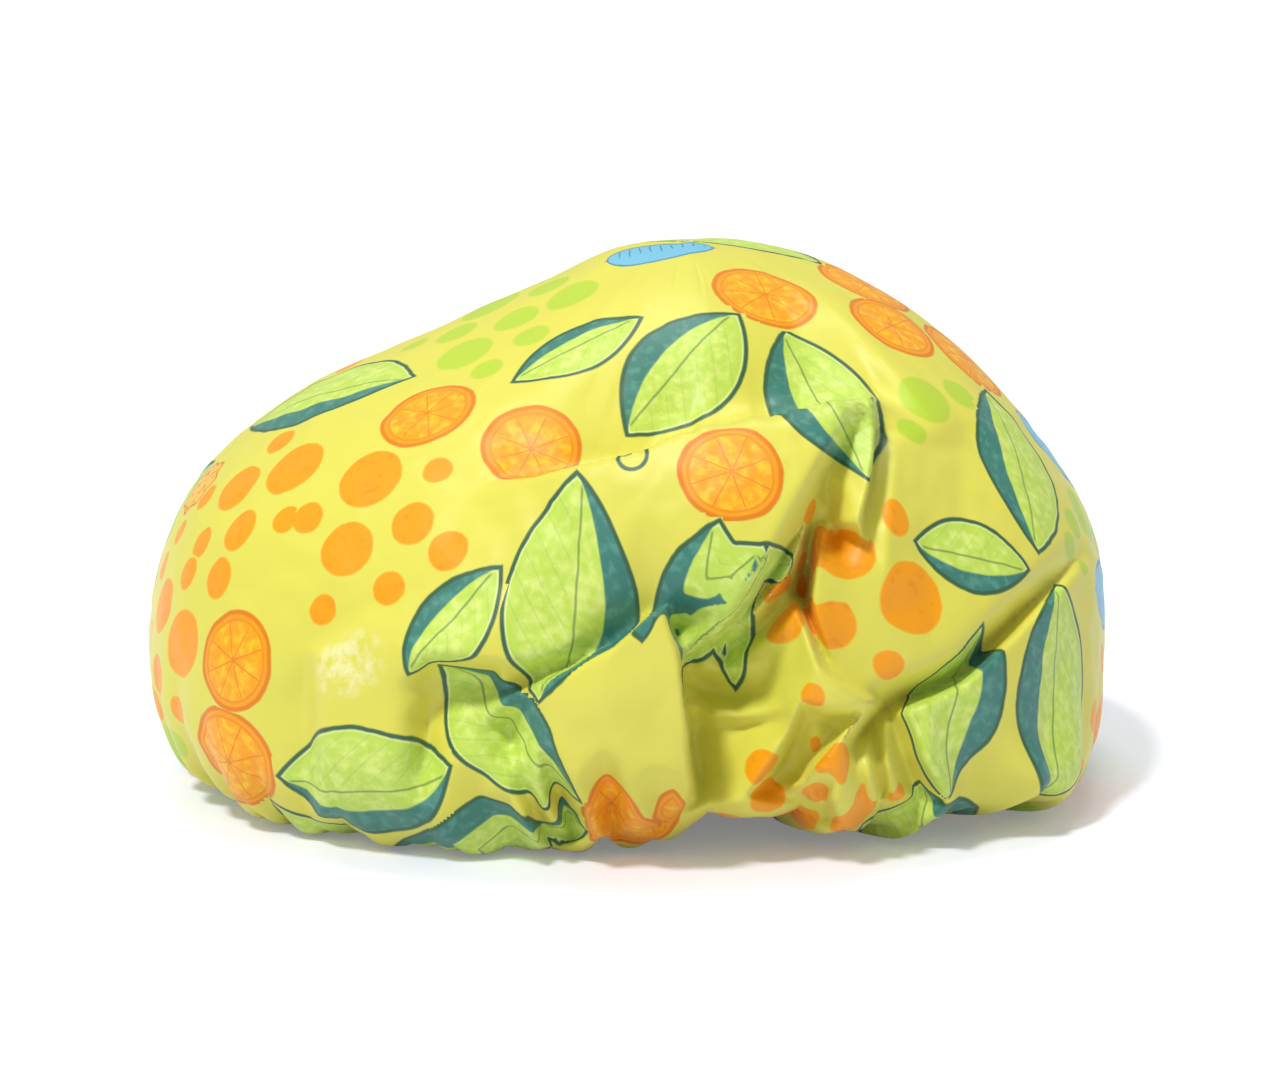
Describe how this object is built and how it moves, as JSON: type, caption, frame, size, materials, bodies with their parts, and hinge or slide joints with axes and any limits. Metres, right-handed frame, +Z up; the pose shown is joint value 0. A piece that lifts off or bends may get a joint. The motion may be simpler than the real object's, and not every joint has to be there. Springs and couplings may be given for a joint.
{
  "type": "shower cap",
  "caption": "Puffed two-layer shower cap of printed cloth over a waterproof film lining, gathered at its hem by an elastic in a turned casing.",
  "frame": {"origin": "on the table under the middle of the standing cap's box", "axes": "+Z up, +X to the picture's right along the cap's longest side, -Y towards the viewer, where the large fold is"},
  "size_m": [0.2588, 0.2482, 0.1465],
  "materials": {
    "printed_cloth": null,
    "lining_film": "soft frosted waterproof film",
    "knitted_elastic": "ribbed knitted elastic",
    "shell_thread": "twisted polyester thread",
    "lining_thread": "twisted polyester thread"
  },
  "bodies": {
    "root": {"outer_shell": "printed_cloth", "waterproof_lining": "lining_film", "elastic_band": "knitted_elastic", "needle_thread": "shell_thread", "bobbin_thread": "lining_thread", "elastic_join_thread": "lining_thread"}
  },
  "joints": []
}
